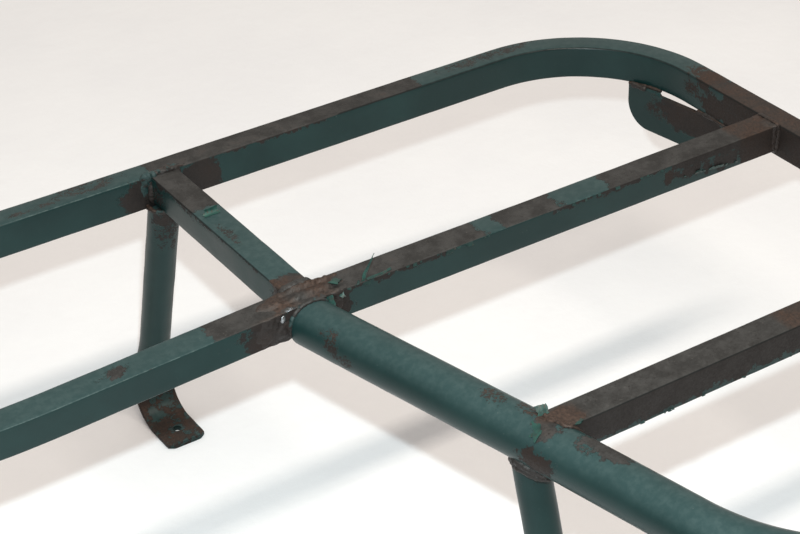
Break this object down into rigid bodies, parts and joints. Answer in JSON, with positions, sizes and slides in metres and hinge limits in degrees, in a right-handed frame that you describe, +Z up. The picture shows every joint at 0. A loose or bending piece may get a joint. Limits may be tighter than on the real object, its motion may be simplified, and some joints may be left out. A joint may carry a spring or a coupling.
{
  "type": "luggage rack",
  "caption": "Welded steel luggage rack: round-cornered outer rail, crossbars, slats and bent front tubes on splayed legs with bolt-down feet.",
  "frame": {"origin": "middle of the rack's footprint, on the surface it stands on", "axes": "+X along the rack, +Y towards the straight rear rail, +Z up"},
  "size_m": [1.2, 0.6426, 0.2306],
  "materials": {
    "green_paint": "dark green satin paint, flaking to bare rusty steel",
    "rusty_steel": "bare brown rusty steel"
  },
  "bodies": {
    "root": {"centre_rail": "green_paint", "crossbar_left": "green_paint", "crossbar_right": "green_paint", "front_leg_left": "green_paint", "front_leg_right": "green_paint", "front_tube_left": "green_paint", "front_tube_right": "green_paint", "lug_left": "green_paint", "lug_right": "green_paint", "outer_rail": "green_paint", "rear_leg_left": "green_paint", "rear_leg_right": "green_paint", "slat_left": "green_paint", "slat_right": "green_paint", "weld_centre_end_left": "rusty_steel", "weld_centre_end_right": "rusty_steel", "weld_crossbar_centre_left": "rusty_steel", "weld_crossbar_centre_right": "rusty_steel", "weld_crossbar_rear_left": "rusty_steel", "weld_crossbar_rear_right": "rusty_steel", "weld_front_leg_left": "rusty_steel", "weld_front_leg_right": "rusty_steel", "weld_lug_front_left": "rusty_steel", "weld_lug_front_right": "rusty_steel", "weld_lug_rear_left": "rusty_steel", "weld_lug_rear_right": "rusty_steel", "weld_rear_leg_left": "rusty_steel", "weld_rear_leg_right": "rusty_steel", "weld_slat_end_left": "rusty_steel", "weld_slat_end_right": "rusty_steel", "weld_slat_tube_left": "rusty_steel", "weld_slat_tube_right": "rusty_steel", "weld_tube_centre_left": "rusty_steel", "weld_tube_centre_right": "rusty_steel", "weld_tube_stub_left": "rusty_steel", "weld_tube_stub_right": "rusty_steel"}
  },
  "joints": []
}
